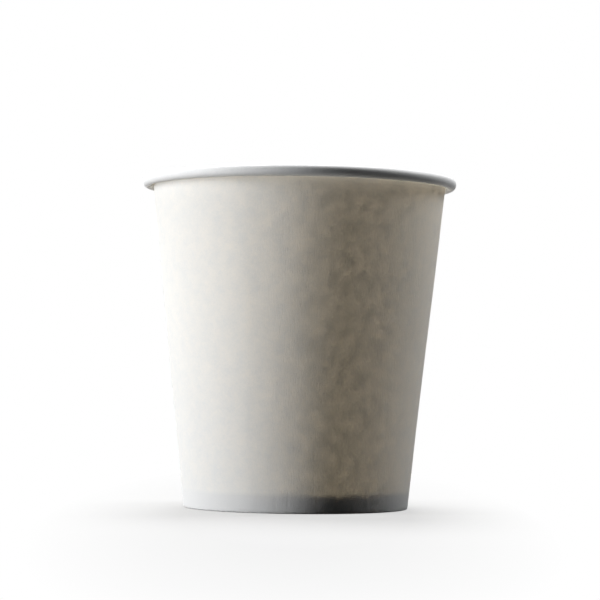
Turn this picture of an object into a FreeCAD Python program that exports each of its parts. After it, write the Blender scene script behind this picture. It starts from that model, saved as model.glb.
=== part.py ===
import FreeCAD, Part

import math
import os

# A single-wall paper specimen cup, made of two pieces of board.
#   side_wall  a fan-shaped blank wrapped into a cone and sealed where its ends overlap, its top
#              rolled outward into a hollow rim, its lower edge folded inward and up
#   base_disc  a drawn disc whose turned-down skirt is sealed inside that fold
# Millimetres, +Z up. The origin is the centre of the foot, in the plane that the cup stands on.
# The side seam is centred on +Y. Sections are drawn in the XZ plane, where X is the radius.

# Over all
RIM_DIAMETER = 73.0
CUP_HEIGHT = 76.5
FOOT_DIAMETER = 51.8        # outer face of the wall, carried on to the resting plane

# Board
WALL_THICKNESS = 0.28
BASE_THICKNESS = 0.24

# Rolled rim: the board turns once round and its cut edge is tucked inside
ROLL_DIAMETER = 2.75
ROLL_GAP = 0.06             # between one turn and the board that it passes
TUCK_ANGLE = 70.0           # degrees that the cut edge runs on past the full turn

# Foot: the wall's lower edge folded round the skirt of the base
FOLD_HEIGHT = 3.4           # from the resting plane to the folded-in cut edge
SEAL_GAP = 0.04             # between the skirt and the board on each side of it

# Base
BASE_HEIGHT = 4.2           # from the resting plane to the disc's upper face
BASE_INSIDE_RADIUS = 0.46   # where the disc turns down into its skirt
SKIRT_EDGE_GAP = 0.1        # between the skirt's cut edge and the fold

# Side seam
SEAM_OVERLAP = 6.0          # measured round the rim
SEAM_RAMP = 2.2             # where the outer layer climbs over the inner one's cut edge
SEAM_STEP = 0.2             # the outer layer, pressed into the seal
SEAM_ROLL_STEP = 0.12       # how much fatter the roll is over the seam
FEATHER = 0.02              # what is left of a step at the thin end of its ramp

AXIS = FreeCAD.Vector(0, 0, 1)
ORIGIN = FreeCAD.Vector(0, 0, 0)
FULL_TURN = 360.0
HALF_TURN = 180.0
QUARTER_TURN = 90.0


def wall_slope():
    """Angle from the vertical at which the wall's inner face runs into the roll as a tangent."""
    roll_radius = ROLL_DIAMETER / 2
    run = (RIM_DIAMETER - FOOT_DIAMETER) / 2 - roll_radius
    rise = CUP_HEIGHT - roll_radius
    reach = roll_radius - WALL_THICKNESS
    return math.degrees(math.acos(reach / math.hypot(run, rise)) - math.atan2(rise, run))


SLOPE = wall_slope()
ROLL_MIDDLE = CUP_HEIGHT - ROLL_DIAMETER / 2
SIN = math.sin(math.radians(SLOPE))
COS = math.cos(math.radians(SLOPE))
OUT_OF_WALL = FreeCAD.Vector(COS, 0, -SIN)

# Each face of the wall, the skirt and the folded edge is parallel to the cone. It is named by
# its distance from the origin along the direction out of the wall.
WALL_OUTSIDE = FOOT_DIAMETER / 2 * COS
WALL_INSIDE = WALL_OUTSIDE - WALL_THICKNESS
SKIRT_OUTSIDE = WALL_INSIDE - SEAL_GAP
SKIRT_INSIDE = SKIRT_OUTSIDE - BASE_THICKNESS
EDGE_OUTSIDE = SKIRT_INSIDE - SEAL_GAP
EDGE_INSIDE = EDGE_OUTSIDE - WALL_THICKNESS


def on_face(distance, height):
    """Point at a height on the face that lies a distance from the origin."""
    return FreeCAD.Vector((distance + height * SIN) / COS, 0, height)


def on_axis(height):
    """Point at a height on the cup's axis."""
    return FreeCAD.Vector(0, 0, height)


def turn_from(centre, radius, angle):
    """Point on a circle in the section plane, the angle counted from outward towards up."""
    across = FreeCAD.Vector(math.cos(math.radians(angle)), 0, math.sin(math.radians(angle)))
    return centre + across * radius


def arc(centre, radius, start, end):
    """Arc in the section plane between two angles."""
    middle = (start + end) / 2
    points = [turn_from(centre, radius, angle) for angle in (start, middle, end)]
    return Part.Arc(*points).toShape()


def face_edges(start, bends, side, end):
    """Edges of one face of the board: straight runs between bends that they meet as tangents."""
    edges = []
    last = start
    for centre, first_angle, last_angle, radii in bends:
        meets = turn_from(centre, radii[side], first_angle)
        if not last.isEqual(meets, FEATHER / 2):
            edges.append(Part.LineSegment(last, meets).toShape())
        last = meets
        if radii[side] > 0:
            edges.append(arc(centre, radii[side], first_angle, last_angle))
            last = turn_from(centre, radii[side], last_angle)
    if end is not None:
        edges.append(Part.LineSegment(last, end).toShape())
        last = end
    return edges, last


def board_section(starts, bends, ends=(None, None)):
    """Section of a bent board from the starts and ends of its two faces and the bends between.

    A bend is a centre, two angles, and the radii of the two faces. No radius is a sharp crease.
    """
    first, first_end = face_edges(starts[0], bends, 0, ends[0])
    second, second_end = face_edges(starts[1], bends, 1, ends[1])
    caps = [Part.LineSegment(starts[0], starts[1]).toShape(),
            Part.LineSegment(first_end, second_end).toShape()]
    outline = Part.Wire(Part.sortEdges(first + second + caps)[0])
    return Part.Face(outline)


def polygon(points):
    """Closed wire through points."""
    return Part.makePolygon(points + points[:1])


def roll_bends(radius, thickness):
    """Bends of a roll that is tangent to the wall's inner face and as high as the cup."""
    height = CUP_HEIGHT - radius
    centre = on_face(WALL_INSIDE + radius, height)
    shift = (WALL_THICKNESS + ROLL_GAP) / 2
    under = centre + FreeCAD.Vector(shift, 0, 0)
    return [
        (centre, HALF_TURN - SLOPE, 0.0, (radius, radius - thickness)),
        (under, 0.0, -HALF_TURN, (radius - shift, radius - shift - thickness)),
        (centre, HALF_TURN, HALF_TURN - TUCK_ANGLE,
         (radius - 2 * shift, radius - 2 * shift - thickness)),
    ]


def wall_section():
    """The side wall's board, from its folded-in edge round the foot to its tucked-in edge."""
    radii = (0.0, WALL_THICKNESS)
    edge_crease = on_face(EDGE_OUTSIDE, WALL_THICKNESS)
    foot_crease = on_face(WALL_INSIDE, WALL_THICKNESS)
    starts = (on_face(EDGE_OUTSIDE, FOLD_HEIGHT), on_face(EDGE_INSIDE, FOLD_HEIGHT))
    bends = [
        (edge_crease, HALF_TURN - SLOPE, HALF_TURN + QUARTER_TURN, radii),
        (foot_crease, HALF_TURN + QUARTER_TURN, FULL_TURN - SLOPE, radii),
    ]
    return board_section(starts, bends + roll_bends(ROLL_DIAMETER / 2, WALL_THICKNESS))


def base_section():
    """The base's board, from the cup's axis to the skirt's cut edge."""
    outside = BASE_INSIDE_RADIUS + BASE_THICKNESS
    bend = on_face(SKIRT_OUTSIDE - outside, BASE_HEIGHT - outside)
    edge_height = WALL_THICKNESS + SKIRT_EDGE_GAP
    starts = (on_axis(BASE_HEIGHT), on_axis(BASE_HEIGHT - BASE_THICKNESS))
    ends = (on_face(SKIRT_OUTSIDE, edge_height), on_face(SKIRT_INSIDE, edge_height))
    return board_section(starts, [(bend, QUARTER_TURN, -SLOPE, (outside, BASE_INSIDE_RADIUS))], ends)


def layer_outline(distance, side, low, high, step):
    """Outline of a second layer that stands a step proud of a face and roots in its board."""
    root = -side * WALL_THICKNESS / 2
    proud = side * step
    return polygon([
        on_face(distance + root, low),
        on_face(distance, low),
        on_face(distance + proud, low + step),
        on_face(distance + proud, high),
        on_face(distance + root, high),
    ])


def roll_outline(step):
    """Outline of the roll where it is a step fatter over the seam, rooted in the wall below."""
    low = ROLL_MIDDLE - SEAM_ROLL_STEP
    starts = (on_face(WALL_INSIDE, low), on_face(WALL_OUTSIDE, low))
    bends = roll_bends((ROLL_DIAMETER + step) / 2, WALL_THICKNESS)
    return board_section(starts, bends[:2]).OuterWire


def turned(shape, angle):
    """Copy of a section shape, turned about the cup's axis."""
    copy = shape.copy()
    copy.rotate(ORIGIN, AXIS, angle)
    return copy


def seam_angles():
    """Angles about the axis of the ramp's thin end and of the two cut edges."""
    degrees_per_mm = FULL_TURN / (math.pi * RIM_DIAMETER)
    inner_edge = QUARTER_TURN - SEAM_OVERLAP * degrees_per_mm / 2
    return inner_edge - SEAM_RAMP * degrees_per_mm, inner_edge, inner_edge + SEAM_OVERLAP * degrees_per_mm


def doubled(outline, step):
    """Solids of a second layer: its ramp, and its full step from one cut edge to the other."""
    thin, inner_edge, outer_edge = seam_angles()
    full = turned(outline(step), inner_edge)
    ramp = Part.makeLoft([turned(outline(FEATHER), thin), full], True, True)
    band = Part.Face(full).revolve(ORIGIN, AXIS, outer_edge - inner_edge)
    return [ramp, band]


def seam_layers():
    """Second layer over the seam: on the wall, on the folded-in edge, and in the roll."""
    low = WALL_THICKNESS
    solids = doubled(lambda step: layer_outline(WALL_OUTSIDE, 1, low, ROLL_MIDDLE, step), SEAM_STEP)
    solids += doubled(lambda step: layer_outline(EDGE_INSIDE, -1, low, FOLD_HEIGHT, step), SEAM_STEP)
    solids += doubled(roll_outline, SEAM_ROLL_STEP)
    return solids


def inner_edge_groove():
    """Groove beside the inner layer's cut edge, where the outer layer ramps down to the wall."""
    thin, inner_edge, _ = seam_angles()
    to_thin = FreeCAD.Rotation(AXIS, thin)
    to_edge = FreeCAD.Rotation(AXIS, inner_edge)
    ends = []
    for height in (BASE_HEIGHT, ROLL_MIDDLE):
        surface = on_face(WALL_INSIDE, height)
        clear = surface - OUT_OF_WALL * FEATHER
        deep = surface + OUT_OF_WALL * SEAM_STEP
        ends.append(polygon([to_thin.multVec(clear), to_edge.multVec(clear), to_edge.multVec(deep)]))
    return Part.makeLoft(ends, True, True)


def side_wall():
    """One piece of board: the cone with its fold and roll, doubled over the seam."""
    board = wall_section().revolve(ORIGIN, AXIS, FULL_TURN)
    board = board.fuse(seam_layers())
    return board.cut(inner_edge_groove()).removeSplitter()


def base_disc():
    """The drawn disc with its turned-down skirt."""
    return base_section().revolve(ORIGIN, AXIS, FULL_TURN)


def single_solid(shape, name):
    """The one solid of a piece."""
    if len(shape.Solids) != 1 or not shape.isValid():
        raise ValueError(name + " is not one valid solid")
    return shape.Solids[0]


def main():
    os.makedirs("parts", exist_ok=True)
    pieces = {"side_wall": side_wall, "base_disc": base_disc}
    for name, make in pieces.items():
        solid = single_solid(make(), name)
        solid.exportStep("parts/" + name + ".step")
        box = solid.optimalBoundingBox()
        print(f"{name}: {solid.Volume:.1f} mm3, {len(solid.Faces)} faces, "
              f"{box.XLength:.2f} x {box.YLength:.2f} x {box.ZLength:.2f} mm")
    print(f"wall slope {SLOPE:.3f} degrees")


main()
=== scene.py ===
import math
import random

import bmesh
import bpy
import numpy as np
from mathutils import Matrix, Vector


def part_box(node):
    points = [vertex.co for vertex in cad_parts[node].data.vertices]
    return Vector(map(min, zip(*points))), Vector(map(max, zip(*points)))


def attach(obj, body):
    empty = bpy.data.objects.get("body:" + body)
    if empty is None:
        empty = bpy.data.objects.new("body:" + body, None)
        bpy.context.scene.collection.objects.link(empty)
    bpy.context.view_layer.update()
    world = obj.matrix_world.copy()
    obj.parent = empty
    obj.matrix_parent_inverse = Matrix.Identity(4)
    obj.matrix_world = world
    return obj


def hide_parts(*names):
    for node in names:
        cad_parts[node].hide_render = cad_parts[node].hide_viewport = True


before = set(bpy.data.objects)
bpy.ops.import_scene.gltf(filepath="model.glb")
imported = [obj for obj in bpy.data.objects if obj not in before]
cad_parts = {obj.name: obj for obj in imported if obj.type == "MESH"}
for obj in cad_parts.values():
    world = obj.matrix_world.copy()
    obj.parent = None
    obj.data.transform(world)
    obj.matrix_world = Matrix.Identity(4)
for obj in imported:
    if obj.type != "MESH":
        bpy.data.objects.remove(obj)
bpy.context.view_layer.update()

# A single-wall paper specimen cup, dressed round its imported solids. The section is worked out in
# millimetres as (distance from the axis, height), and meshes are made in metres.
#   side_wall_board  the wrapped cone with its rolled rim, its folded foot and its lapped side seam
#   base_disc_board  the drawn disc whose skirt is sealed inside the foot
# The board has a plain face, which is the wall's outside, and a film-coated face, which is the
# cup's inside and the outside of the rolled rim. The seam is centred on +Y.
MM = 0.001

# Over all, from the imported parts
WALL_BOX = [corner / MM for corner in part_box("side_wall")]
BASE_BOX = [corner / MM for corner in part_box("base_disc")]
RIM_RADIUS = WALL_BOX[1].x
CUP_HEIGHT = WALL_BOX[1].z
BASE_HEIGHT = BASE_BOX[1].z
SKIRT_EDGE_HEIGHT = BASE_BOX[0].z

# Board
WALL_THICKNESS = 0.28
BASE_THICKNESS = 0.24

# Rolled rim
ROLL_RADIUS = 1.375
ROLL_GAP = 0.06             # between one turn and the board that it passes
TUCK_ANGLE = 70.0           # degrees that the cut edge runs on past the full turn

# Foot
FOOT_RADIUS = 25.9          # outer face of the wall, carried on to the resting plane
FOLD_HEIGHT = 3.4           # from the resting plane to the folded-in cut edge
SEAL_GAP = 0.04             # between the skirt and the board on each side of it
CREASE_RADIUS = 0.05        # inside of the foot's two creases
DRAW_RADIUS = 0.46          # where the disc turns down into its skirt

# Side seam
SEAM_OVERLAP = 6.0          # measured round the rim
SEAM_RAMP = 2.2             # where the outer layer climbs over the inner one's cut edge
SEAM_STEP = 0.2             # the outer layer, pressed into the seal
SEAM_ROLL_STEP = 0.11       # how much fatter the roll is over the seam
SEAM_ROLL_FADE = 2.6        # where the fatter roll dies away beyond the outer cut edge
SEAM_ROLL_LEAD = 1.0        # degrees before the outer cut edge at which it starts to
GROOVE_FADE = 0.5           # over which the groove deepens above the base
GROOVE_TOP = 4.0            # below the cup's top, where the roll starts to close the groove
GROOVE_IN_ROLL = 0.4        # share of the groove's depth that the roll leaves
STEP_INTO_ROLL = 60.0       # degrees round the roll in which the outer layer's step is lost
STEP_OUT_OF_FOLD = (15.0, 80.0)    # degrees round the fold, from straight down, in which it grows

# Marks of the tools
KNURLS = 120                # presses of the wheel that seals the foot, in the recess
KNURL_DEPTH = 0.05
KNURL_FADE = 0.5            # below the folded-in cut edge
KNURL_RISE = 0.3            # above the resting plane
FOOT_CREASES = {"seed": 11, "half_widths": (0.7, 1.5), "gaps": (2.2, 7.5)}    # degrees
CREASE_DEPTH = 0.020        # upright creases round the outside of the foot
CREASE_ENDS = ((0.3, 0.9), (4.1, 3.5))    # heights at which they come and go
DISC_PLEATS = {"seed": 23, "half_widths": (0.9, 1.8), "gaps": (1.6, 4.5)}     # degrees
PLEAT_DEPTH = 0.04          # where the disc is drawn down into its skirt
PLEAT_REACH = 4.0           # how far on to the disc the pleats run
CREASE_STRENGTHS = (0.2, 1.0)    # from the faintest crease or pleat to the full depth
DISC_SAG = 0.18             # how far the middle of the disc hangs below its rim

# Unevenness of the wall, which its base and its roll hold round
SWELL = {"seed": 3, "cells": 9, "cell_height": 30.0}
SWELL_DEPTH = 0.10
RIPPLE = {"seed": 5, "cells": 31, "cell_height": 24.0}
RIPPLE_DEPTH = 0.022
RIPPLE_WHERE_HELD = 0.35    # share of the ripple near the base and the roll
HELD_BY_BASE = 14.0         # height over which the base's hold is lost
HELD_BY_ROLL = (3.0, 18.0)  # the same below the cup's top

# Colours of the board, linear, as it throws light back
BOARD_COLOUR = (0.940, 0.973, 1.0, 1.0)
THIN_COLOUR = (0.785, 0.800, 0.815, 1.0)        # where the pulp is thin
ROLLED_COLOUR = (0.890, 0.893, 0.892, 1.0)
PRESSED_COLOUR = (0.850, 0.862, 0.868, 1.0)
RAW_COLOUR = (0.89, 0.87, 0.83, 1.0)

# Light that comes through the board. Only the passed share of these colours counts, so one above 1
# is no more light than fell on the board: a thin spot throws back as much less as it passes more.
THROUGH_THIN_COLOUR = (1.42, 1.29, 1.09, 1.0)
THROUGH_THICK_COLOUR = (0.80, 0.73, 0.60, 1.0)
PASSED_SHARE = 0.25         # of the light that falls on the plain face
FILM_PASSED_SHARE = 0.30    # of the light that falls on the film-coated face
FOOT_PASSED_SHARE = 0.10    # of the plain face in the foot, where the layers are sealed together
FOOT_FADE = 0.5             # each side of the base's height, where the foot's look dies away
FOOT_WOBBLE = 0.5           # how unevenly the foot was pressed, up and down
FOOT_WOBBLES_PER_METRE = 110.0
CLOUD_SIZE = 2.4            # of the pulp's clouds
RAW_CLOUD_SIZE = 0.6        # on the cut edges
FLOCKS_PER_CLOUD = 4.2      # how much smaller the flocks are
GRAINS_PER_CLOUD = 5.5      # how much smaller the grain is
CLOUD_SHARE = 0.3           # of the clouds in how thin the pulp is, beside the flocks
THIN_RANGE = (0.36, 0.64)   # of their noise, from thick to thin
NOISE_RANGE = (0.3, 0.7)    # where nearly all of a noise's values lie

# Relief of the faces
BOARD_RELIEF = 0.05
FILM_RELIEF = 0.01
ROLLED_RELIEF = 0.02
TOOTH_PER_FIBRE = 1.7       # how much smaller the tooth is than a fibre's width
LINES_PER_DIMPLE = 1.6      # how much narrower a draw line is than a dimple
LINE_STRETCH = 0.06         # a draw line's width over its length
PATCHES_PER_DIMPLE = 0.3    # a dimple's size over that of a patch of other gloss

# Mesh
WALL_COLUMNS = 680
BASE_COLUMNS = 480
COATED_SLOT, PLAIN_SLOT, RAW_SLOT, ROLL_SLOT = range(4)
ROLL_MATERIAL_START = 120.0  # degrees round the roll, counted from outward towards up
EDGE_HALF_WIDTH = 0.03      # degrees each side of a cut edge
SHARP_ANGLE = 38.0          # degrees between faces from which an edge is shown sharp
WELD_DISTANCE = 1e-5
STATION_DISTANCE = 1e-6     # stations nearer than this are one

DEGREES_PER_MM = 180.0 / (math.pi * RIM_RADIUS)
INNER_CUT_EDGE = 90.0 - SEAM_OVERLAP * DEGREES_PER_MM / 2
OUTER_CUT_EDGE = 90.0 + SEAM_OVERLAP * DEGREES_PER_MM / 2
RAMP_START = INNER_CUT_EDGE - SEAM_RAMP * DEGREES_PER_MM
ROLL_FADE_START = OUTER_CUT_EDGE - SEAM_ROLL_LEAD
ROLL_FADE_END = OUTER_CUT_EDGE + SEAM_ROLL_FADE * DEGREES_PER_MM


def wall_slope():
    """Angle from the vertical at which the wall's inner face runs into the roll as a tangent."""
    run = RIM_RADIUS - FOOT_RADIUS - ROLL_RADIUS
    rise = CUP_HEIGHT - ROLL_RADIUS
    reach = ROLL_RADIUS - WALL_THICKNESS
    return math.acos(reach / math.hypot(run, rise)) - math.atan2(rise, run)


SLOPE = wall_slope()
SLOPE_DEGREES = math.degrees(SLOPE)
OUT_OF_WALL = np.array([math.cos(SLOPE), -math.sin(SLOPE)])

# Faces parallel to the cone, named by their distance from the axis point of the resting plane
WALL_OUTSIDE = FOOT_RADIUS * math.cos(SLOPE)
WALL_INSIDE = WALL_OUTSIDE - WALL_THICKNESS
SKIRT_OUTSIDE = WALL_INSIDE - SEAL_GAP
SKIRT_INSIDE = SKIRT_OUTSIDE - BASE_THICKNESS
EDGE_OUTSIDE = SKIRT_INSIDE - SEAL_GAP


def on_face(distance, height):
    """Section point at a height on the face that lies a distance out."""
    return np.array([(distance + height * math.sin(SLOPE)) / math.cos(SLOPE), height])


def smooth(start, end, value):
    """Soft step from 0 to 1 between two values."""
    share = np.clip((value - start) / (end - start), 0.0, 1.0)
    return share * share * (3.0 - 2.0 * share)


# ---------------------------------------------------------------- sections of the board

class Section:
    """Matching points on the two faces of a bent board, in order along it.

    across is the way from the coated face to the plain one, and each zone is a range of stations.
    """

    def __init__(self):
        self.coated = []
        self.plain = []
        self.across = []
        self.angle = []
        self.zones = {}

    def add(self, zone, coated, across, thickness, angle):
        self.zones.setdefault(zone, []).append(len(self.coated))
        self.coated.append(coated)
        self.plain.append(coated + across * thickness)
        self.across.append(across)
        self.angle.append(angle)

    def straight(self, zone, start, end, across, thickness, count):
        """Stations along a flat run, its ends included."""
        for share in np.linspace(0.0, 1.0, count):
            self.add(zone, start + (end - start) * share, across, thickness, 0.0)

    def bend(self, zone, centre, radius, start, end, outward, thickness, count):
        """Stations round a bend of the coated face. outward says that it is the hollow side."""
        for angle in np.linspace(start, end, count):
            ray = np.array([math.cos(math.radians(angle)), math.sin(math.radians(angle))])
            across = ray if outward else -ray
            self.add(zone, centre + ray * radius, across, thickness, angle)

    def close(self):
        """Turns the lists into arrays, with one station where two zones meet."""
        coated = np.array(self.coated)
        step = np.linalg.norm(np.diff(coated, axis=0), axis=1)
        keep = np.concatenate([[True], step > STATION_DISTANCE])
        place = np.cumsum(keep) - 1
        self.zones = {zone: sorted({int(place[i]) for i in rows}) for zone, rows in self.zones.items()}
        self.coated = coated[keep]
        self.plain = np.array(self.plain)[keep]
        self.across = np.array(self.across)[keep]
        self.angle = np.array(self.angle)[keep]
        return self

    def along(self):
        """Distance of each station along the board."""
        return np.concatenate([[0.0], np.cumsum(np.linalg.norm(np.diff(self.coated, axis=0), axis=1))])

    def weight(self, *zones):
        """1 at the stations of the zones and 0 elsewhere."""
        weight = np.zeros(len(self.coated))
        for zone in zones:
            weight[self.zones[zone]] = 1.0
        return weight


def wall_board_section():
    """The side wall's board, from its folded-in cut edge round the foot to its tucked-in edge."""
    t = WALL_THICKNESS
    crease_height = t + CREASE_RADIUS
    edge_crease = on_face(EDGE_OUTSIDE + CREASE_RADIUS, crease_height)
    foot_crease = on_face(WALL_INSIDE - CREASE_RADIUS, crease_height)
    roll_height = CUP_HEIGHT - ROLL_RADIUS
    roll_centre = on_face(WALL_INSIDE + ROLL_RADIUS, roll_height)
    shift = (t + ROLL_GAP) / 2
    under = roll_centre + np.array([shift, 0.0])
    leaves_edge = edge_crease - OUT_OF_WALL * CREASE_RADIUS
    leaves_foot = foot_crease + OUT_OF_WALL * CREASE_RADIUS
    meets_roll = roll_centre - OUT_OF_WALL * ROLL_RADIUS

    section = Section()
    section.straight("edge", on_face(EDGE_OUTSIDE, FOLD_HEIGHT), leaves_edge, -OUT_OF_WALL, t, count=6)
    section.bend("edge_crease", edge_crease, CREASE_RADIUS, 180 - SLOPE_DEGREES, 270, True, t, count=5)
    section.bend("foot_crease", foot_crease, CREASE_RADIUS, 270, 360 - SLOPE_DEGREES, True, t, count=5)
    section.straight("band", leaves_foot, on_face(WALL_INSIDE, BASE_HEIGHT), OUT_OF_WALL, t, count=7)
    section.straight("wall", on_face(WALL_INSIDE, BASE_HEIGHT), meets_roll, OUT_OF_WALL, t, count=21)
    section.bend("roll", roll_centre, ROLL_RADIUS, 180 - SLOPE_DEGREES, 0, False, t, count=14)
    section.bend("roll", under, ROLL_RADIUS - shift, 0, -180, False, t, count=13)
    section.bend("tuck", roll_centre, ROLL_RADIUS - 2 * shift, 180, 180 - TUCK_ANGLE, False, t, count=7)
    return section.close()


def base_board_section():
    """The base's board, from the cup's axis to the skirt's cut edge."""
    outside = DRAW_RADIUS + BASE_THICKNESS
    bend = on_face(SKIRT_OUTSIDE - outside, BASE_HEIGHT - outside)
    down = np.array([0.0, -1.0])
    section = Section()
    section.straight("disc", np.array([0.0, BASE_HEIGHT]), bend + np.array([0.0, outside]), down,
                     BASE_THICKNESS, count=26)
    section.bend("draw", bend, outside, 90, -SLOPE_DEGREES, False, BASE_THICKNESS, count=9)
    leaves = bend + OUT_OF_WALL * outside
    section.straight("skirt", leaves, on_face(SKIRT_OUTSIDE, SKIRT_EDGE_HEIGHT), -OUT_OF_WALL,
                     BASE_THICKNESS, count=7)
    return section.close()


# ---------------------------------------------------------------- what happens round the cup

def column_angles(columns, cut_edges=()):
    """Angles of the mesh's columns in degrees: even ones, and a pair close by each cut edge."""
    angles = np.linspace(0.0, 360.0, columns, endpoint=False)
    for edge in cut_edges:
        angles = angles[np.abs(angles - edge) > 0.5 * 360.0 / columns]
        angles = np.append(angles, [edge - EDGE_HALF_WIDTH, edge + EDGE_HALF_WIDTH])
    return np.sort(angles)


def layer_rise(angle):
    """How far the outer layer stands proud outside: up a ramp, across the overlap, then cut."""
    return smooth(RAMP_START, INNER_CUT_EDGE, angle) * (angle < OUTER_CUT_EDGE)


def ramp_groove(angle):
    """The same ramp seen from inside: a groove that ends at the inner layer's cut edge."""
    return smooth(RAMP_START, INNER_CUT_EDGE, angle) * (angle < INNER_CUT_EDGE)


def roll_rise(angle):
    """How much fatter the roll is: cut at the inner layer's edge, and dying away beyond the outer."""
    return (1.0 - smooth(ROLL_FADE_START, ROLL_FADE_END, angle)) * (angle > INNER_CUT_EDGE)


def wave(angle, height, seed, cells, cell_height):
    """Smooth random unevenness from -1 to 1 over the wall: cells round it, and so high."""
    draw = np.random.default_rng(seed)
    rows = int(CUP_HEIGHT / cell_height) + 3
    values = draw.uniform(-1.0, 1.0, (rows, cells))
    across = (angle / 360.0 * cells) % cells
    up = np.clip(height / cell_height, 0.0, rows - 2.001)
    i, j = across.astype(int), up.astype(int)
    u, v = smooth(0.0, 1.0, across - i), smooth(0.0, 1.0, up - j)
    i_next = (i + 1) % cells
    low = values[j, i] * (1 - u) + values[j, i_next] * u
    high = values[j + 1, i] * (1 - u) + values[j + 1, i_next] * u
    return low * (1 - v) + high * v


def creases(angle, seed, half_widths, gaps):
    """Depth from 0 to 1 of random upright creases: their half widths and the gaps between."""
    draw = random.Random(seed)
    depth = np.zeros_like(angle)
    at = draw.uniform(*gaps)
    while at < 360.0:
        half_width = draw.uniform(*half_widths)
        away = np.abs((angle - at + 180.0) % 360.0 - 180.0)
        depth = np.maximum(depth, draw.uniform(*CREASE_STRENGTHS) * smooth(half_width, 0.0, away))
        at += draw.uniform(*gaps)
    return depth


def wall_shifts(section, angles):
    """How far the coated and the plain points of the wall move across the board."""
    rise = layer_rise(angles)
    groove = ramp_groove(angles)
    fatter = roll_rise(angles)
    height = section.coated[:, 1]
    upright = section.weight("edge", "band", "wall")
    round_fold = section.weight("edge_crease", "foot_crease")
    round_fold *= smooth(*STEP_OUT_OF_FOLD, np.abs(section.angle - 270.0))
    into_roll = section.weight("roll") * np.clip(1 - (180 - section.angle) / STEP_INTO_ROLL, 0.0, 1.0)
    doubled = np.maximum(np.maximum(upright, round_fold), into_roll)
    closing = smooth(CUP_HEIGHT - GROOVE_TOP, CUP_HEIGHT - ROLL_RADIUS, height)
    grooved = section.weight("wall") * smooth(BASE_HEIGHT, BASE_HEIGHT + GROOVE_FADE, height)
    grooved *= 1.0 - (1.0 - GROOVE_IN_ROLL) * closing
    rolled = section.weight("roll", "tuck")
    grooved_roll = rolled * GROOVE_IN_ROLL
    fattened = rolled * (1.0 - np.sin(np.radians(section.angle))) / 2.0

    knurled = section.weight("edge") * smooth(FOLD_HEIGHT, FOLD_HEIGHT - KNURL_FADE, height)
    knurled = np.maximum(knurled, section.weight("edge_crease") * smooth(0.0, KNURL_RISE, height))
    knurl = 0.5 - 0.5 * np.cos(np.radians(angles) * KNURLS)
    creased = section.weight("band")
    for end in CREASE_ENDS:
        creased = creased * smooth(*end, height)

    roll_shift = (np.outer(grooved_roll, groove) * SEAM_STEP
                  - np.outer(fattened, fatter) * SEAM_ROLL_STEP)
    coated_shift = np.outer(grooved, groove) * SEAM_STEP + roll_shift
    plain_shift = (np.outer(doubled, rise) * SEAM_STEP
                   + roll_shift
                   - np.outer(knurled, knurl) * KNURL_DEPTH
                   - np.outer(creased, creases(angles, **FOOT_CREASES)) * CREASE_DEPTH)
    return coated_shift, plain_shift


def uneven(section_height, angles):
    """How far the wall stands off a true cone, in millimetres."""
    height = np.repeat(section_height[:, None], len(angles), axis=1)
    angle = np.repeat(angles[None, :], len(section_height), axis=0)
    free = smooth(BASE_HEIGHT, BASE_HEIGHT + HELD_BY_BASE, height)
    free *= smooth(CUP_HEIGHT - HELD_BY_ROLL[0], CUP_HEIGHT - HELD_BY_ROLL[1], height)
    swell = wave(angle, height, **SWELL) * SWELL_DEPTH * free
    ripple_share = RIPPLE_WHERE_HELD + (1.0 - RIPPLE_WHERE_HELD) * free
    return swell + wave(angle, height, **RIPPLE) * RIPPLE_DEPTH * ripple_share


def revolve(points, shifts, section, angles, extra):
    """Turns section points round the axis, moved across the board and outward."""
    turned = points[:, None, :] + section.across[:, None, :] * shifts[:, :, None]
    radius = turned[:, :, 0] + extra
    theta = np.radians(angles)[None, :]
    return np.stack([radius * np.cos(theta), radius * np.sin(theta), turned[:, :, 1]], axis=2)


# ---------------------------------------------------------------- meshes

def wall_blank(along, angle):
    """Place on the side wall's flat blank, a fan whose middle is at the front of the cup."""
    apex = on_face(WALL_INSIDE, 0.0)[0] / math.sin(SLOPE) - FOLD_HEIGHT
    turn = np.radians(angle + 90.0) * math.sin(SLOPE)
    return (apex + along) * np.sin(turn), (apex + along) * np.cos(turn)


def base_blank(along, angle):
    """Place on the base's flat blank, a disc."""
    return along * np.cos(np.radians(angle)), along * np.sin(np.radians(angle))


def next_row(rows):
    """The row that follows each one along the closed loop of both faces."""
    return np.roll(rows, -1, axis=0)


def face_corners(rows, columns):
    """Corner indices of every face, anticlockwise seen from outside the board."""
    index = np.arange(rows * columns).reshape(rows, columns)
    beside = np.roll(index, -1, axis=1)
    return np.stack([index, next_row(index), next_row(beside), beside], axis=2)


def column_widths(angles):
    """Degrees from each column to the next."""
    return np.diff(np.append(angles, angles[0] + 360.0))


def blank_corners(section, angles, blank, cuts):
    """Place on the flat blank of every face's corners, in millimetres."""
    stations = len(section.coated)
    along = np.concatenate([section.along(), section.along()[::-1]])
    cut = np.repeat(cuts, stations)
    left = np.where(angles[None, :] < cut[:, None], angles[None, :], angles[None, :] - 360.0)
    right = left + column_widths(angles)[None, :]
    low = np.repeat(along[:, None], len(angles), axis=1)
    high = next_row(low)
    corners = [blank(low, left), blank(high, left), blank(high, right), blank(low, right)]
    return np.stack(corners, axis=0).transpose(2, 3, 0, 1)


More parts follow.
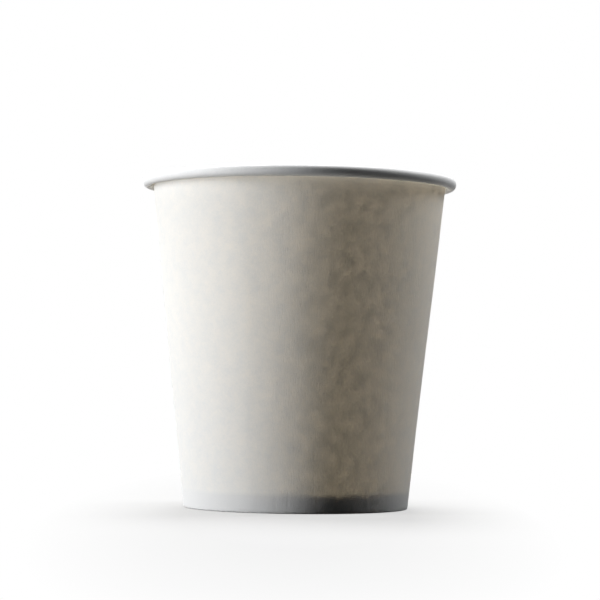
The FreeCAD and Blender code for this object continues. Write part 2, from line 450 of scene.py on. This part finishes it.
def face_slots(section, angles, cuts):
    """Material slot of every face: by the side of the board, and raw at the cut edges."""
    stations = len(section.coated)
    slot = np.full((2 * stations, len(angles)), COATED_SLOT, dtype=np.int32)
    slot[stations:] = PLAIN_SLOT
    slot[[stations - 1, 2 * stations - 1]] = RAW_SLOT
    roll = [row for row in section.zones.get("roll", []) if section.angle[row] < ROLL_MATERIAL_START]
    slot[roll + section.zones.get("tuck", [])[:-1]] = ROLL_SLOT
    narrow = column_widths(angles) < 3 * EDGE_HALF_WIDTH
    sides = (slice(0, stations - 1), slice(stations, 2 * stations - 1))
    for side, cut in zip(sides, cuts):
        slot[side, narrow & (np.abs(angles - cut) < 2 * EDGE_HALF_WIDTH)] = RAW_SLOT
    return slot


def weld(mesh):
    """Joins points that lie together, as on the axis of a disc, and drops what has no face."""
    shape = bmesh.new()
    shape.from_mesh(mesh)
    bmesh.ops.remove_doubles(shape, verts=shape.verts, dist=WELD_DISTANCE * MM)
    bare = [edge for edge in shape.edges if not edge.link_faces]
    bmesh.ops.delete(shape, geom=bare, context="EDGES_FACES")
    shape.to_mesh(mesh)
    shape.free()


def board_mesh(name, section, coated, plain, angles, blank, cuts, materials):
    """Closed mesh of a board turned round the axis.

    Its UV map is the flat blank in metres. cuts are the angles at which the coated face and the
    plain one pass from one end of the blank to the other. materials are for the coated face, the
    plain one, the raw cut edges and the coated face of the roll.
    """
    points = np.concatenate([coated, plain[::-1]], axis=0)
    corners = face_corners(*points.shape[:2])
    mesh = bpy.data.meshes.new(name)
    mesh.from_pydata((points.reshape(-1, 3) * MM).tolist(), [], corners.reshape(-1, 4).tolist())
    uv = mesh.uv_layers.new(name="board")
    uv.data.foreach_set("uv", (blank_corners(section, angles, blank, cuts) * MM).reshape(-1))
    mesh.polygons.foreach_set("material_index", face_slots(section, angles, cuts).reshape(-1))
    for material in materials:
        mesh.materials.append(material)
    weld(mesh)
    mesh.shade_smooth()
    mesh.set_sharp_from_angle(angle=math.radians(SHARP_ANGLE))
    mesh.validate()
    board = bpy.data.objects.new(name, mesh)
    bpy.context.scene.collection.objects.link(board)
    return board


# ---------------------------------------------------------------- shader groups

def node_group(name, inputs, outputs):
    """Empty shader group with its sockets. Each socket is a name, a kind and a default."""
    group = bpy.data.node_groups.new(name, "ShaderNodeTree")
    for label, kind, default in inputs:
        socket = group.interface.new_socket(name=label, in_out="INPUT", socket_type=kind)
        socket.default_value = default
    for label, kind in outputs:
        group.interface.new_socket(name=label, in_out="OUTPUT", socket_type=kind)
    entry = group.nodes.new("NodeGroupInput")
    leave = group.nodes.new("NodeGroupOutput")
    return group, entry, leave


def add_node(tree, kind, **settings):
    """Node with some of its properties set."""
    made = tree.nodes.new(kind)
    for key, value in settings.items():
        setattr(made, key, value)
    return made


def noise_node(tree, vector, scale, detail=2.0, roughness=0.5, distortion=0.0):
    """Noise over a vector, at a scale that may be a number or a socket."""
    made = add_node(tree, "ShaderNodeTexNoise")
    made.inputs["Detail"].default_value = detail
    made.inputs["Roughness"].default_value = roughness
    made.inputs["Distortion"].default_value = distortion
    tree.links.new(vector, made.inputs["Vector"])
    feed(tree, scale, made.inputs["Scale"])
    return made.outputs["Fac"]


def feed(tree, value, socket):
    """Links a socket, or sets a number on it."""
    if isinstance(value, bpy.types.NodeSocket):
        tree.links.new(value, socket)
    else:
        socket.default_value = value


def maths(tree, operation, first, second=0.0, third=0.0):
    """One sum on sockets or numbers."""
    made = add_node(tree, "ShaderNodeMath", operation=operation)
    for socket, value in zip(made.inputs, (first, second, third)):
        feed(tree, value, socket)
    return made.outputs[0]


def spread(tree, value, low, high, out_low=0.0, out_high=1.0):
    """Takes a range of a value to another range."""
    made = add_node(tree, "ShaderNodeMapRange")
    feed(tree, value, made.inputs["Value"])
    made.inputs["From Min"].default_value = low
    made.inputs["From Max"].default_value = high
    made.inputs["To Min"].default_value = out_low
    made.inputs["To Max"].default_value = out_high
    return made.outputs["Result"]


def mix_colour(tree, share, first, second):
    """Mix of two colours, each a socket or a value."""
    made = add_node(tree, "ShaderNodeMix", data_type="RGBA")
    feed(tree, share, made.inputs["Factor"])
    feed(tree, first, made.inputs["A"])
    feed(tree, second, made.inputs["B"])
    return made.outputs["Result"]


def mix_shader(tree, share, first, second):
    """Mix of two shaders, the share a socket or a number."""
    made = add_node(tree, "ShaderNodeMixShader")
    feed(tree, share, made.inputs["Fac"])
    tree.links.new(first, made.inputs[1])
    tree.links.new(second, made.inputs[2])
    return made.outputs["Shader"]


def scale_for(tree, size):
    """Noise scale for features of a size in millimetres, given by a socket."""
    return maths(tree, "DIVIDE", 1.0 / MM, size)


def pulp_group():
    """Colour of the pulp: it throws back less light where it is thin, and has a fine grain."""
    group, entry, leave = node_group(
        "pulp_formation",
        [("Thinness", "NodeSocketFloat", 0.5), ("Pressed", "NodeSocketFloat", 0.0),
         ("Cloud Size", "NodeSocketFloat", CLOUD_SIZE),
         ("Depth", "NodeSocketFloat", 0.65), ("Grain", "NodeSocketFloat", 0.07),
         ("Board Colour", "NodeSocketColor", BOARD_COLOUR),
         ("Pressed Colour", "NodeSocketColor", PRESSED_COLOUR),
         ("Thin Colour", "NodeSocketColor", THIN_COLOUR)],
        [("Colour", "NodeSocketColor")])
    place = add_node(group, "ShaderNodeTexCoord").outputs["Object"]
    per_metre = scale_for(group, entry.outputs["Cloud Size"])
    fine = noise_node(group, place, maths(group, "MULTIPLY", per_metre, GRAINS_PER_CLOUD),
                      detail=3.0, roughness=0.65)
    fine = spread(group, fine, *NOISE_RANGE)
    share = maths(group, "MULTIPLY", entry.outputs["Thinness"], entry.outputs["Depth"])
    share = maths(group, "MULTIPLY_ADD", fine, entry.outputs["Grain"], share)
    board = mix_colour(group, entry.outputs["Pressed"], entry.outputs["Board Colour"],
                       entry.outputs["Pressed Colour"])
    colour = mix_colour(group, share, board, entry.outputs["Thin Colour"])
    group.links.new(colour, leave.inputs["Colour"])
    return group


def fibre_group():
    """Height of a board's surface: fibres lying mostly up the cup, and the fine tooth of the pulp."""
    group, entry, leave = node_group(
        "fibre_tooth",
        [("Fibre Width", "NodeSocketFloat", 0.35), ("Stretch", "NodeSocketFloat", 5.0),
         ("Tooth", "NodeSocketFloat", 0.4)],
        [("Height", "NodeSocketFloat")])
    board = add_node(group, "ShaderNodeUVMap", uv_map="board").outputs["UV"]
    place = add_node(group, "ShaderNodeTexCoord").outputs["Object"]
    lie = add_node(group, "ShaderNodeMapping", vector_type="POINT")
    combine = add_node(group, "ShaderNodeCombineXYZ")
    combine.inputs["X"].default_value = 1.0
    group.links.new(maths(group, "DIVIDE", 1.0, entry.outputs["Stretch"]), combine.inputs["Y"])
    group.links.new(board, lie.inputs["Vector"])
    group.links.new(combine.outputs["Vector"], lie.inputs["Scale"])
    per_metre = scale_for(group, entry.outputs["Fibre Width"])
    fibres = noise_node(group, lie.outputs["Vector"], per_metre,
                        detail=3.0, roughness=0.6, distortion=0.4)
    tooth = noise_node(group, place, maths(group, "MULTIPLY", per_metre, TOOTH_PER_FIBRE),
                       detail=3.0, roughness=0.65)
    height = maths(group, "MULTIPLY_ADD", tooth, entry.outputs["Tooth"], fibres)
    group.links.new(height, leave.inputs["Height"])
    return group


def film_group():
    """Surface of the film over the board: pulp showing through softly, and faint draw lines."""
    group, entry, leave = node_group(
        "film_skin",
        [("Dimple Size", "NodeSocketFloat", 0.9), ("Lines", "NodeSocketFloat", 0.5),
         ("Gloss", "NodeSocketFloat", 0.5), ("Gloss Change", "NodeSocketFloat", 0.12)],
        [("Height", "NodeSocketFloat"), ("Roughness", "NodeSocketFloat")])
    board = add_node(group, "ShaderNodeUVMap", uv_map="board").outputs["UV"]
    place = add_node(group, "ShaderNodeTexCoord").outputs["Object"]
    per_metre = scale_for(group, entry.outputs["Dimple Size"])
    dimples = noise_node(group, place, per_metre, detail=2.5, roughness=0.55)
    lie = add_node(group, "ShaderNodeMapping", vector_type="POINT")
    lie.inputs["Scale"].default_value = (1.0, LINE_STRETCH, 1.0)
    group.links.new(board, lie.inputs["Vector"])
    lines = noise_node(group, lie.outputs["Vector"],
                       maths(group, "MULTIPLY", per_metre, LINES_PER_DIMPLE), detail=2.0)
    height = maths(group, "MULTIPLY_ADD", lines, entry.outputs["Lines"], dimples)
    group.links.new(height, leave.inputs["Height"])
    patch = noise_node(group, place, maths(group, "MULTIPLY", per_metre, PATCHES_PER_DIMPLE))
    patch = spread(group, patch, *NOISE_RANGE, -0.5, 0.5)
    rough = maths(group, "MULTIPLY_ADD", patch, entry.outputs["Gloss Change"], entry.outputs["Gloss"])
    group.links.new(rough, leave.inputs["Roughness"])
    return group


# ---------------------------------------------------------------- materials

def thinness(tree, cloud):
    """Formation of the pulp, 1 where it is thin: clouds of a size in millimetres, and flocks."""
    place = add_node(tree, "ShaderNodeTexCoord").outputs["Object"]
    per_metre = 1.0 / (cloud * MM)
    clouds = noise_node(tree, place, per_metre, detail=1.0)
    flocks = noise_node(tree, place, per_metre * FLOCKS_PER_CLOUD, detail=4.0, roughness=0.85)
    flocks = maths(tree, "MULTIPLY", flocks, 1.0 - CLOUD_SHARE)
    return spread(tree, maths(tree, "MULTIPLY_ADD", clouds, CLOUD_SHARE, flocks), *THIN_RANGE)


def pressed_foot(tree):
    """1 in the foot, where the board is pressed and several layers thick, and 0 above its seal."""
    place = add_node(tree, "ShaderNodeTexCoord").outputs["Object"]
    split = add_node(tree, "ShaderNodeSeparateXYZ")
    tree.links.new(place, split.inputs["Vector"])
    wobble = maths(tree, "SUBTRACT", noise_node(tree, place, FOOT_WOBBLES_PER_METRE, detail=1.0), 0.5)
    height = maths(tree, "MULTIPLY_ADD", wobble, FOOT_WOBBLE * MM, split.outputs["Z"])
    low, high = (BASE_HEIGHT - FOOT_FADE) * MM, (BASE_HEIGHT + FOOT_FADE) * MM
    return spread(tree, height, low, high, 1.0, 0.0)


def sheet_of_board(tree, front, passes, thin):
    """Board lit from both sides: a share of the light behind it leaves its front, clouded.

    Shadow rays and scattered rays pass the face that they meet from outside. They are then inside
    the board, where both its faces throw light back and pass on their share.
    """
    through = add_node(tree, "ShaderNodeBsdfTranslucent")
    mottle = mix_colour(tree, thin, THROUGH_THICK_COLOUR, THROUGH_THIN_COLOUR)
    tree.links.new(mottle, through.inputs["Color"])
    sheet = mix_shader(tree, passes, front, through.outputs["BSDF"])
    clear = add_node(tree, "ShaderNodeBsdfTransparent").outputs["BSDF"]
    sides = add_node(tree, "ShaderNodeNewGeometry")
    rays = add_node(tree, "ShaderNodeLightPath")
    from_outside = mix_shader(tree, sides.outputs["Backfacing"], clear, sheet)
    scattered = mix_shader(tree, rays.outputs["Is Diffuse Ray"], sheet, from_outside)
    return mix_shader(tree, rays.outputs["Is Shadow Ray"], scattered, from_outside)


def board_material(name, groups, colour, passes, cloud=CLOUD_SIZE, footed=False):
    """Paper board: the pulp's formation in its colour, and the share of light that it passes.

    Footed board is pressed together low down, where it is greyer and passes less light.
    """
    material = bpy.data.materials.new(name)
    material.use_nodes = True
    tree = material.node_tree
    tree.nodes.clear()
    shader = add_node(tree, "ShaderNodeBsdfPrincipled")
    output = add_node(tree, "ShaderNodeOutputMaterial")
    surface = shader.outputs["BSDF"]
    thin = thinness(tree, cloud)
    foot = pressed_foot(tree) if footed else 0.0
    if passes > 0.0:
        share = spread(tree, foot, 0.0, 1.0, passes, FOOT_PASSED_SHARE) if footed else passes
        surface = sheet_of_board(tree, surface, share, thin)
    tree.links.new(surface, output.inputs["Surface"])

    pulp = add_node(tree, "ShaderNodeGroup", node_tree=groups["pulp"])
    tree.links.new(thin, pulp.inputs["Thinness"])
    pulp.inputs["Cloud Size"].default_value = cloud
    pulp.inputs["Board Colour"].default_value = colour
    pulp.inputs["Pressed Colour"].default_value = PRESSED_COLOUR
    feed(tree, foot, pulp.inputs["Pressed"])
    pulp.inputs["Thin Colour"].default_value = THIN_COLOUR
    tree.links.new(pulp.outputs["Colour"], shader.inputs["Base Color"])
    return material, tree, shader


def relief(tree, shader, height, depth):
    """Bump of a surface, its full height in millimetres."""
    bump = add_node(tree, "ShaderNodeBump")
    bump.inputs["Strength"].default_value = 1.0
    bump.inputs["Distance"].default_value = depth * MM
    tree.links.new(height, bump.inputs["Height"])
    tree.links.new(bump.outputs["Normal"], shader.inputs["Normal"])


def bare_board(name, groups, footed):
    """Bare matt board with a soft tooth."""
    material, tree, shader = board_material(name, groups, BOARD_COLOUR, PASSED_SHARE, footed=footed)
    fibre = add_node(tree, "ShaderNodeGroup", node_tree=groups["fibre"])
    relief(tree, shader, fibre.outputs["Height"], BOARD_RELIEF)
    shader.inputs["Roughness"].default_value = 0.92
    shader.inputs["Specular IOR Level"].default_value = 0.0
    return material


def raw_cut_edge(groups):
    """Cut edges of the board: no film and no smooth face, only the ends of its fibres."""
    material, tree, shader = board_material("raw_cut_edge", groups, RAW_COLOUR, passes=0.0,
                                            cloud=RAW_CLOUD_SIZE)
    fibre = add_node(tree, "ShaderNodeGroup", node_tree=groups["fibre"])
    fibre.inputs["Fibre Width"].default_value = 0.08
    fibre.inputs["Stretch"].default_value = 1.5
    relief(tree, shader, fibre.outputs["Height"], BOARD_RELIEF)
    shader.inputs["Roughness"].default_value = 1.0
    shader.inputs["Specular IOR Level"].default_value = 0.0
    return material


def filmed_board(name, groups, colour, passes, lines, depth):
    """Board under a thin film, which the pulp dimples and drawing or rolling scores."""
    material, tree, shader = board_material(name, groups, colour, passes)
    skin = add_node(tree, "ShaderNodeGroup", node_tree=groups["film"])
    skin.inputs["Lines"].default_value = lines
    tree.links.new(skin.outputs["Roughness"], shader.inputs["Roughness"])
    relief(tree, shader, skin.outputs["Height"], depth)
    shader.inputs["Specular IOR Level"].default_value = 0.25
    return material


# ---------------------------------------------------------------- the two pieces

def make_side_wall(materials):
    """The wrapped cone with its rolled rim, folded foot and lapped seam."""
    section = wall_board_section()
    angles = column_angles(WALL_COLUMNS, [INNER_CUT_EDGE, OUTER_CUT_EDGE])
    coated_shift, plain_shift = wall_shifts(section, angles)
    extra = uneven(section.coated[:, 1], angles)
    coated = revolve(section.coated, coated_shift, section, angles, extra)
    plain = revolve(section.plain, plain_shift, section, angles, extra)
    cuts = (INNER_CUT_EDGE, OUTER_CUT_EDGE)
    return board_mesh("side_wall_board", section, coated, plain, angles, wall_blank, cuts, materials)


def make_base_disc(materials):
    """The drawn disc: it sags a little, and its skirt is pleated where it turns down."""
    section = base_board_section()
    angles = column_angles(BASE_COLUMNS)
    radius = section.coated[:, 0]
    sag = DISC_SAG * (1.0 - smooth(0.0, BASE_BOX[1].x, radius)) * section.weight("disc")
    reach = smooth(BASE_BOX[1].x - PLEAT_REACH, BASE_BOX[1].x, radius)
    drawn = np.minimum(section.weight("draw") + section.weight("disc") * reach, 1.0)
    shift = sag[:, None] + np.outer(drawn, creases(angles, **DISC_PLEATS)) * PLEAT_DEPTH
    still = np.zeros_like(shift)
    coated = revolve(section.coated, shift, section, angles, still)
    plain = revolve(section.plain, shift, section, angles, still)
    cuts = (360.0, 360.0)
    return board_mesh("base_disc_board", section, coated, plain, angles, base_blank, cuts, materials)


# ---------------------------------------------------------------- stage, lights and camera

FLOOR_HALF = 3.0                    # metres
SWEEP_GREY = 0.53                   # by the foot, where the lamps light it to near white
SWEEP_BOUNCE = 0.04                 # what scattered rays meet
SHADOW_STRETCH = (1.0, 0.2, 0.0)    # the shadow's patch is long from front to back
SHADOW_REACH = (0.026, 0.054)       # metres out, from its darkest to plain white
SHADOW_WHITENESS = 0.56             # share of plain white even where it is darkest
UNDER_FOOT_MARGIN = 0.5             # millimetres past the foot that the lamps' rays don't pass
WORLD_FILL = 0.01                   # strength of the world for scattered rays


def seen_directly(tree, rays):
    """1 for what the camera sees, in gloss and through the board too, and 0 for scattered rays."""
    direct = maths(tree, "MAXIMUM", rays.outputs["Is Camera Ray"], rays.outputs["Is Glossy Ray"])
    direct = maths(tree, "MAXIMUM", direct, rays.outputs["Is Transmission Ray"])
    unscattered = maths(tree, "SUBTRACT", 1.0, rays.outputs["Is Diffuse Ray"])
    return maths(tree, "MINIMUM", direct, unscattered)


def matt(tree, level):
    """Plain matt grey."""
    made = add_node(tree, "ShaderNodeBsdfDiffuse")
    made.inputs["Color"].default_value = (level, level, level, 1.0)
    return made.outputs["BSDF"]


def glow(tree, kind, strength):
    """White light of a strength, from an Emission or a Background node."""
    made = add_node(tree, kind)
    made.inputs["Color"].default_value = (1.0, 1.0, 1.0, 1.0)
    made.inputs["Strength"].default_value = strength
    return made.outputs[0]


def distance_out(tree, position, stretch):
    """Distance of a position from the middle of the foot, each axis counted so many times."""
    weighed = add_node(tree, "ShaderNodeVectorMath", operation="MULTIPLY")
    tree.links.new(position, weighed.inputs[0])
    weighed.inputs[1].default_value = stretch
    length = add_node(tree, "ShaderNodeVectorMath", operation="LENGTH")
    tree.links.new(weighed.outputs["Vector"], length.inputs[0])
    return length.outputs["Value"]


def sweep_material():
    """White sweep: the cup's shadow shows softly by the foot, and it fades to white further out.

    Scattered rays meet it nearly black, so that it lights nothing, and it can't be seen from below.
    Rays to the lamps pass it, except under the cup, because the tall key reaches below it.
    """
    material = bpy.data.materials.new("white_sweep")
    material.use_nodes = True
    tree = material.node_tree
    tree.nodes.clear()
    rays = add_node(tree, "ShaderNodeLightPath")
    place = add_node(tree, "ShaderNodeNewGeometry")
    position = place.outputs["Position"]
    away = distance_out(tree, position, SHADOW_STRETCH)
    whiteness = spread(tree, away, *SHADOW_REACH, SHADOW_WHITENESS, 1.0)
    shown = mix_shader(tree, whiteness, matt(tree, SWEEP_GREY), glow(tree, "ShaderNodeEmission", 1.0))
    lit = mix_shader(tree, seen_directly(tree, rays), matt(tree, SWEEP_BOUNCE), shown)
    outside = distance_out(tree, position, (1.0, 1.0, 1.0))
    outside = maths(tree, "GREATER_THAN", outside, (FOOT_RADIUS + UNDER_FOOT_MARGIN) * MM)
    unshaded = maths(tree, "MULTIPLY", rays.outputs["Is Shadow Ray"], outside)
    absent = maths(tree, "MAXIMUM", place.outputs["Backfacing"], unshaded)
    clear = add_node(tree, "ShaderNodeBsdfTransparent").outputs["BSDF"]
    output = add_node(tree, "ShaderNodeOutputMaterial")
    tree.links.new(mix_shader(tree, absent, lit, clear), output.inputs["Surface"])
    return material


def make_floor():
    """Pale floor that the cup stands on."""
    mesh = bpy.data.meshes.new("floor")
    corners = [(x * FLOOR_HALF, y * FLOOR_HALF, 0.0) for x, y in ((-1, -1), (1, -1), (1, 1), (-1, 1))]
    mesh.from_pydata(corners, [], [(0, 1, 2, 3)])
    mesh.materials.append(sweep_material())
    floor = bpy.data.objects.new("floor", mesh)
    bpy.context.scene.collection.objects.link(floor)


def make_world():
    """White all round for what is seen directly, and a little light of its own."""
    world = bpy.data.worlds.new("studio")
    world.use_nodes = True
    tree = world.node_tree
    tree.nodes.clear()
    rays = add_node(tree, "ShaderNodeLightPath")
    fill = glow(tree, "ShaderNodeBackground", WORLD_FILL)
    seen = glow(tree, "ShaderNodeBackground", 1.0)
    output = add_node(tree, "ShaderNodeOutputWorld")
    tree.links.new(mix_shader(tree, seen_directly(tree, rays), fill, seen), output.inputs["Surface"])
    bpy.context.scene.world = world


def add_softbox(name, azimuth, elevation, distance, width, height, level):
    """Softbox facing the middle of the cup, in metres and degrees.

    Azimuth is counted from the camera, to the right. level is what a white card at the cup gives
    when it faces the softbox, 1 being plain white.
    """
    lamp = bpy.data.lights.new(name, "AREA")
    lamp.shape = "RECTANGLE"
    lamp.size = width
    lamp.size_y = height
    lamp.energy = level * (math.pi * distance) ** 2
    aim = Vector((0.0, 0.0, CUP_HEIGHT * MM / 2))
    a = math.radians(azimuth)
    e = math.radians(elevation)
    away = Vector((math.sin(a) * math.cos(e), -math.cos(a) * math.cos(e), math.sin(e)))
    box = bpy.data.objects.new(name, lamp)
    box.location = aim + away * distance
    box.rotation_mode = "QUATERNION"
    box.rotation_quaternion = (-away).to_track_quat("-Z", "Y")
    box.visible_camera = False
    bpy.context.scene.collection.objects.link(box)


def add_softboxes():
    """Tall key from the left, a weaker one from behind on the right, and one high up behind."""
    add_softbox("key_left", azimuth=-77.0, elevation=7.0, distance=0.80,
                width=0.26, height=0.86, level=1.335)
    add_softbox("back_right", azimuth=115.0, elevation=42.0, distance=0.70,
                width=0.28, height=0.36, level=0.57)
    add_softbox("top_back", azimuth=-160.0, elevation=67.0, distance=1.30,
                width=0.86, height=0.78, level=1.30)


CAMERA_DISTANCE = 519.31    # in front of the cup's axis
CAMERA_HEIGHT = 29.67       # above the floor
CAMERA_PITCH = 0.0356       # radians, tipped up
CAMERA_ROLL = 0.0125        # radians
CAMERA_LENS = 133.92
CAMERA_SENSOR = 36.0
CAMERA_SHIFT = 0.0033       # share of the frame's width


def make_camera():
    """Long lens, low down and tipped up a little, as for a pack shot."""
    data = bpy.data.cameras.new("pack_shot")
    data.sensor_width = CAMERA_SENSOR
    data.lens = CAMERA_LENS
    data.shift_x = CAMERA_SHIFT
    data.clip_start = 0.01
    data.clip_end = 20.0
    camera = bpy.data.objects.new("pack_shot", data)
    stand = Matrix.Translation((0.0, -CAMERA_DISTANCE * MM, CAMERA_HEIGHT * MM))
    tip = Matrix.Rotation(math.pi / 2 + CAMERA_PITCH, 4, "X")
    camera.matrix_world = stand @ tip @ Matrix.Rotation(CAMERA_ROLL, 4, "Z")
    bpy.context.scene.collection.objects.link(camera)
    bpy.context.scene.camera = camera


def main():
    make_camera()
    groups = {"pulp": pulp_group(), "fibre": fibre_group(), "film": film_group()}
    coated = filmed_board("film_coated_board", groups, BOARD_COLOUR, passes=FILM_PASSED_SHARE,
                          lines=0.5, depth=FILM_RELIEF)
    plain = bare_board("uncoated_board", groups, footed=True)
    base_plain = bare_board("uncoated_base", groups, footed=False)
    raw = raw_cut_edge(groups)
    rolled = filmed_board("rolled_rim_board", groups, ROLLED_COLOUR, passes=0.0,
                          lines=1.5, depth=ROLLED_RELIEF)
    wall = make_side_wall([coated, plain, raw, rolled])
    base = make_base_disc([coated, base_plain, raw])
    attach(wall, "root")
    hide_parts("side_wall")
    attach(base, "root")
    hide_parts("base_disc")
    make_floor()
    make_world()
    add_softboxes()
    bpy.context.scene.view_settings.view_transform = "Standard"


main()
